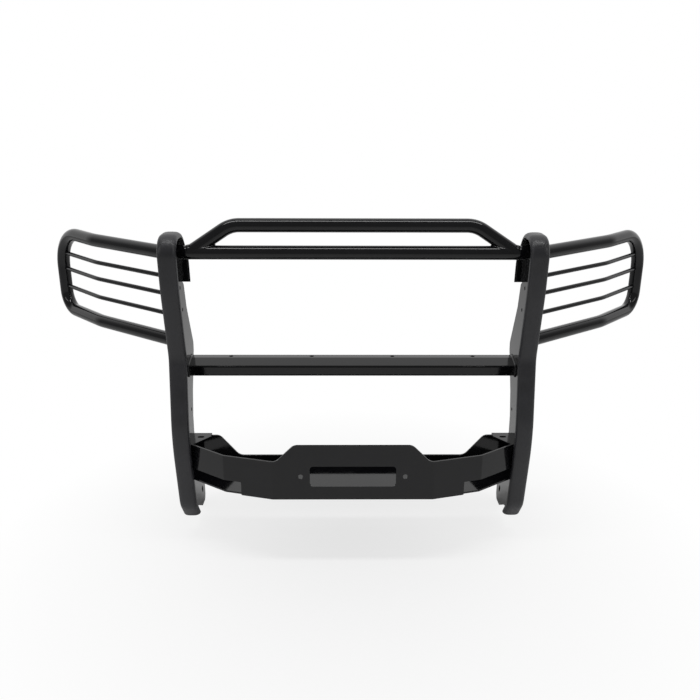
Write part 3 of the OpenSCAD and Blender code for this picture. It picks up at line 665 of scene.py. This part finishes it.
# %% Rubber
def satin_rubber(name):
    """Dark rubber: lines 0.9 mm apart across X, fine grain of 0.5 mm, and bloom in 60 mm patches."""
    material, tree, out = new_material(name)
    place = add(tree, "ShaderNodeTexCoord").outputs["Object"]
    along = add(tree, "ShaderNodeMapping", Vector=place, Scale=(1 / (0.9 * MM), 12, 12))
    lines = add(tree, "ShaderNodeTexNoise", Vector=along.outputs[0], Scale=1.0, Detail=2.0)
    grain = add(tree, "ShaderNodeTexNoise", Vector=place, Scale=1 / (0.6 * MM), Detail=3.0)
    bloom = add(tree, "ShaderNodeTexNoise", Vector=place, Scale=1 / (60 * MM), Detail=4.0, Roughness=0.6)
    height = add(tree, "ShaderNodeMath", {"operation": "MULTIPLY_ADD"}, _0=grain.outputs["Fac"], _1=0.6,
                 _2=lines.outputs["Fac"])
    bump = add(tree, "ShaderNodeBump", Height=height.outputs[0], Distance=0.06 * MM)
    tone = add(tree, "ShaderNodeValToRGB", Fac=bloom.outputs["Fac"])
    tone.color_ramp.elements[0].position, tone.color_ramp.elements[0].color = 0.3, linear("#17171a")
    tone.color_ramp.elements[1].position, tone.color_ramp.elements[1].color = 0.7, linear("#222226")
    rough = add(tree, "ShaderNodeMapRange", Value=bloom.outputs["Fac"], From_Min=0.3, From_Max=0.7,
                To_Min=0.34, To_Max=0.44)
    shader = add(tree, "ShaderNodeBsdfPrincipled", Base_Color=tone.outputs["Color"],
                 Roughness=rough.outputs["Result"], Normal=bump.outputs["Normal"], IOR=1.5)
    tree.links.new(shader.outputs[0], out.inputs["Surface"])
    return material


rubber = satin_rubber("satin_extruded_EPDM_rubber")


def finish(piece, material):
    """Puts the one material on the piece."""
    piece.data.materials.clear()
    piece.data.materials.append(material)


for piece in [o for o in bpy.context.scene.objects if o.type == "MESH" and o.name not in node]:
    is_cover, is_weld = piece in covers, piece in welds
    finish(piece, rubber if is_cover else weld_coat if is_weld else coat)
print("rubber:", rubber.name)

# %% [markdown]
# ## Floor, lights and surroundings
#
# Black gloss shows its surroundings more than its own colour, so the room matters as much as the paint. A
# product studio has a white sweep behind the object, a long narrow softbox overhead and an upright one at
# each side, and a darker room in front. The floor fades into the white sweep, but keeps a soft shadow.

# %% Floor
box_low, box_high = (np.array(corner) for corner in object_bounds())
size = 5.0
floor_height = float(box_low[2]) - 0.0005
corners = np.array([[-size, -size], [size, -size], [size, size], [-size, size]])
sheet = bpy.data.meshes.new("studio_floor")
sheet.from_pydata(np.column_stack([corners, np.full(4, floor_height)]).tolist(), [], [[0, 1, 2, 3]])
floor = bpy.data.objects.new("studio_floor", sheet)
bpy.context.scene.collection.objects.link(floor)
floor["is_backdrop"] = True
material, tree, out = new_material("pale_painted_floor")
position = add(tree, "ShaderNodeTexCoord").outputs["Object"]
reach = add(tree, "ShaderNodeVectorMath", {"operation": "LENGTH"}, _0=position)
fade = add(tree, "ShaderNodeMapRange", Value=reach.outputs["Value"], From_Min=0.2, From_Max=1.0,
           To_Min=0.65, To_Max=1.0)
fleck = add(tree, "ShaderNodeTexNoise", Vector=position, Scale=1 / (8 * MM), Detail=2.0)
paint = add(tree, "ShaderNodeValToRGB", Fac=fleck.outputs["Fac"])
paint.color_ramp.elements[0].color = linear("#f6f6f6")
paint.color_ramp.elements[1].color = linear("#fbfbfb")
matt = add(tree, "ShaderNodeBsdfDiffuse", Color=paint.outputs["Color"])
glow = add(tree, "ShaderNodeEmission", Color=(1, 1, 1, 1), Strength=1.0)
seen = add(tree, "ShaderNodeLightPath").outputs["Is Camera Ray"]
share = add(tree, "ShaderNodeMath", {"operation": "MULTIPLY"}, _0=fade.outputs["Result"], _1=seen)
mix = add(tree, "ShaderNodeMixShader", _0=share.outputs[0], _1=matt.outputs[0], _2=glow.outputs[0])
tree.links.new(mix.outputs[0], out.inputs["Surface"])
floor.data.materials.append(material)
print("floor at", round(floor_height, 4), "m")

# %% [markdown]
# The world is white wherever the camera, a reflection or glass looks, with less light in its diffuse part,
# so that the softboxes still model the shapes. Reflections that look back past the camera find the dim
# half of the room.

# %% World
world = bpy.data.worlds.new("studio")
bpy.context.scene.world = world
world.use_nodes = True
tree = world.node_tree
tree.nodes.clear()
toward = add(tree, "ShaderNodeSeparateXYZ", Vector=add(tree, "ShaderNodeTexCoord").outputs["Generated"])
room = add(tree, "ShaderNodeMapRange", {"interpolation_type": "SMOOTHSTEP"}, Value=toward.outputs["Y"],
           From_Min=-0.1, From_Max=0.4, To_Min=0.25, To_Max=1.0)
path = add(tree, "ShaderNodeLightPath")
glossy = add(tree, "ShaderNodeMath", {"operation": "MAXIMUM"}, _0=path.outputs["Is Glossy Ray"],
             _1=path.outputs["Is Transmission Ray"])
ambient = add(tree, "ShaderNodeMix", _0=glossy.outputs[0], _2=0.45, _3=room.outputs["Result"])
strength = add(tree, "ShaderNodeMix", _0=path.outputs["Is Camera Ray"], _2=ambient.outputs[0], _3=1.0)
back = add(tree, "ShaderNodeBackground", Color=(1, 1, 1, 1), Strength=strength.outputs[0])
tree.links.new(back.outputs[0], tree.nodes.new("ShaderNodeOutputWorld").inputs["Surface"])


def softbox(name, place, target, width, height, radiance):
    """Rectangular lamp that faces its target. A flat lamp of radiance L and area A takes pi A L watts."""
    lamp = bpy.data.lights.new(name, "AREA")
    lamp.shape, lamp.size, lamp.size_y = "RECTANGLE", width, height
    lamp.energy = pi * width * height * radiance
    holder = bpy.data.objects.new(name, lamp)
    bpy.context.scene.collection.objects.link(holder)
    away = unit(np.array(place, float) - np.array(target, float))
    side = unit(np.cross([0, 0, 1.0], away)) if abs(away[2]) < 0.99 else np.array([1.0, 0, 0])
    matrix = np.eye(4)
    matrix[:3, 0], matrix[:3, 1], matrix[:3, 2], matrix[:3, 3] = side, np.cross(away, side), away, place
    holder.matrix_world = columns(matrix)
    return holder


middle = ((box_low + box_high) / 2).tolist()
softbox("overhead_softbox", (0, -0.2, 2.3), (0, -0.2, 0), 2.6, 0.25, 10.0)
softbox("left_softbox", (-2.2, -1.2, 1.5), middle, 0.4, 1.6, 2.8)
softbox("right_softbox", (2.2, -1.2, 1.5), middle, 0.4, 1.6, 2.8)
bpy.context.scene.view_settings.view_transform = "Standard"
